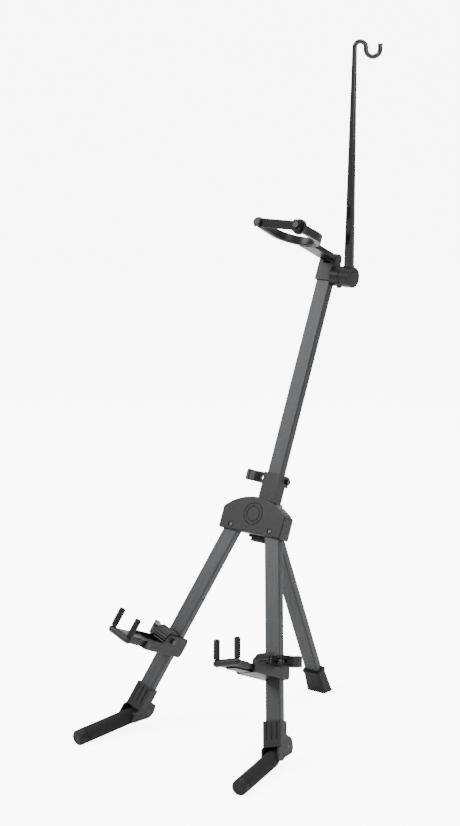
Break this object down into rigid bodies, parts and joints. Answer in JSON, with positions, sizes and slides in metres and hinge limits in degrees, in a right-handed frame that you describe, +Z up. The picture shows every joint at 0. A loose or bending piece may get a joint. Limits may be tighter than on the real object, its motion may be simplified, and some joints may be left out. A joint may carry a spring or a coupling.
{
  "type": "folding violin stand with bow holder",
  "caption": "Folding stand for a violin or viola: splayed front legs with sliding forked arms, rear leg, sliding mast, tilting neck cradle and a bow hook.",
  "frame": {"origin": "on the floor, under the middle of the overall box", "axes": "+X to the right seen from the front, +Y to the back, +Z up"},
  "size_m": [0.255, 0.3521, 0.809],
  "materials": {
    "charcoal_plastic": "fine moulded texture",
    "anodised_tube": "satin anodised, brushed lengthwise",
    "gloss_black": "glossy",
    "dark_lever": "satin gloss",
    "foam_rubber": "matte, closed cell",
    "soft_pad": "slightly glossy soft pad",
    "blackened_steel": "blackened, brushed"
  },
  "bodies": {
    "hub": {"hub_front_shell": "charcoal_plastic", "hub_rear_shell": "charcoal_plastic", "leg_rivets": "blackened_steel", "leg_washers": "blackened_steel", "shell_screws": "blackened_steel", "rear_leg_pin": "blackened_steel", "mast_clamp_bolt": "blackened_steel", "mast_clamp_nut": "blackened_steel", "mast_lever_pin": "blackened_steel"},
    "mast": {"mast_tube": "anodised_tube", "mast_end_plug": "charcoal_plastic", "mast_head": "charcoal_plastic", "tilt_pin": "blackened_steel", "bow_axle": "blackened_steel"},
    "mast_thumb_lever": {"mast_lever": "dark_lever"},
    "neck_rest": {"neck_cradle": "charcoal_plastic", "cradle_pad": "soft_pad", "strap_anchor": "charcoal_plastic", "strap_peg": "charcoal_plastic"},
    "strap": {"neck_strap": "soft_pad", "strap_buckle": "charcoal_plastic"},
    "bow_rest": {"bow_holder": "charcoal_plastic", "bow_holder_cover": "charcoal_plastic", "bow_rod": "gloss_black"},
    "rear_leg": {"rear_leg_head": "charcoal_plastic", "rear_leg_tube": "anodised_tube", "rear_boot": "foam_rubber"},
    "left_leg": {"left_leg_tube": "anodised_tube", "left_foot_socket": "charcoal_plastic", "left_foot_pin": "blackened_steel"},
    "left_foot": {"left_foot_core": "charcoal_plastic", "left_foot_grip": "foam_rubber", "left_toe_cap": "foam_rubber"},
    "left_arm": {"left_arm_bracket": "charcoal_plastic", "left_arm_roller": "charcoal_plastic", "left_fork_pin": "blackened_steel", "left_arm_clamp_bolt": "blackened_steel", "left_arm_clamp_nut": "blackened_steel", "left_arm_lever_pin": "blackened_steel"},
    "left_thumb_lever": {"left_arm_lever": "dark_lever"},
    "left_fork_swing": {"left_fork": "charcoal_plastic", "left_prong_sleeves": "foam_rubber"},
    "right_leg": {"right_leg_tube": "anodised_tube", "right_foot_socket": "charcoal_plastic", "right_foot_pin": "blackened_steel"},
    "right_foot": {"right_foot_core": "charcoal_plastic", "right_foot_grip": "foam_rubber", "right_toe_cap": "foam_rubber"},
    "right_arm": {"right_arm_bracket": "charcoal_plastic", "right_arm_roller": "charcoal_plastic", "right_fork_pin": "blackened_steel", "right_arm_clamp_bolt": "blackened_steel", "right_arm_clamp_nut": "blackened_steel", "right_arm_lever_pin": "blackened_steel"},
    "right_thumb_lever": {"right_arm_lever": "dark_lever"},
    "right_fork_swing": {"right_fork": "charcoal_plastic", "right_prong_sleeves": "foam_rubber"}
  },
  "joints": [
    {"name": "mast_slide", "type": "slide", "parent": "hub", "child": "mast", "axis": [0, 0.4067, 0.9135], "range_m": [-0.2, 0.03]},
    {"name": "mast_lever_turn", "type": "hinge", "parent": "hub", "child": "mast_thumb_lever", "pos_m": [-0.0176, 0.06116, 0.29104], "axis": [0, 0.4067, 0.9135], "range_deg": [-40, 55]},
    {"name": "neck_rest_tilt", "type": "hinge", "parent": "mast", "child": "neck_rest", "pos_m": [0, 0.16568, 0.54717], "axis": [-1, 0, 0], "range_deg": [-15, 30]},
    {"name": "strap_swing", "type": "hinge", "parent": "neck_rest", "child": "strap", "pos_m": [0.0281, 0.05777, 0.59861], "axis": [0, 0.9135, -0.4067], "range_deg": [0, 110]},
    {"name": "bow_holder_swing", "type": "hinge", "parent": "mast", "child": "bow_rest", "pos_m": [0.032, 0.15734, 0.52844], "axis": [-1, 0, 0], "range_deg": [-5, 180]},
    {"name": "rear_leg_fold", "type": "hinge", "parent": "hub", "child": "rear_leg", "pos_m": [0, 0.04753, 0.23559], "axis": [-1, 0, 0], "range_deg": [0, 47.8]},
    {"name": "left_leg_fold", "type": "hinge", "parent": "hub", "child": "left_leg", "pos_m": [-0.0284, 0.0075, 0.24378], "axis": [0, -0.9135, 0.4067], "range_deg": [0, 17.4]},
    {"name": "left_foot_fold", "type": "hinge", "parent": "left_leg", "child": "left_foot", "pos_m": [-0.10256, -0.07505, 0.02149], "axis": [0.9542, -0.1216, -0.2732], "range_deg": [0, 60]},
    {"name": "left_arm_slide", "type": "slide", "parent": "left_leg", "child": "left_arm", "axis": [0.299, 0.3881, 0.8717], "range_m": [0, 0.056]},
    {"name": "left_lever_turn", "type": "hinge", "parent": "left_arm", "child": "left_thumb_lever", "pos_m": [-0.0925, -0.06136, 0.11862], "axis": [0.299, 0.3881, 0.8717], "range_deg": [-15, 75]},
    {"name": "left_fork_fold", "type": "hinge", "parent": "left_arm", "child": "left_fork_swing", "pos_m": [-0.07816, -0.10276, 0.11906], "axis": [-0.9542, 0.1216, 0.2732], "range_deg": [0, 100]},
    {"name": "right_leg_fold", "type": "hinge", "parent": "hub", "child": "right_leg", "pos_m": [0.0284, 0.0075, 0.24378], "axis": [0, 0.9135, -0.4067], "range_deg": [0, 17.4]},
    {"name": "right_foot_fold", "type": "hinge", "parent": "right_leg", "child": "right_foot", "pos_m": [0.10256, -0.07505, 0.02149], "axis": [0.9542, 0.1216, 0.2732], "range_deg": [0, 60]},
    {"name": "right_arm_slide", "type": "slide", "parent": "right_leg", "child": "right_arm", "axis": [-0.299, 0.3881, 0.8717], "range_m": [0, 0.056]},
    {"name": "right_lever_turn", "type": "hinge", "parent": "right_arm", "child": "right_thumb_lever", "pos_m": [0.0925, -0.06136, 0.11862], "axis": [0.299, -0.3881, -0.8717], "range_deg": [-15, 75]},
    {"name": "right_fork_fold", "type": "hinge", "parent": "right_arm", "child": "right_fork_swing", "pos_m": [0.07816, -0.10276, 0.11906], "axis": [-0.9542, -0.1216, -0.2732], "range_deg": [0, 100]}
  ]
}
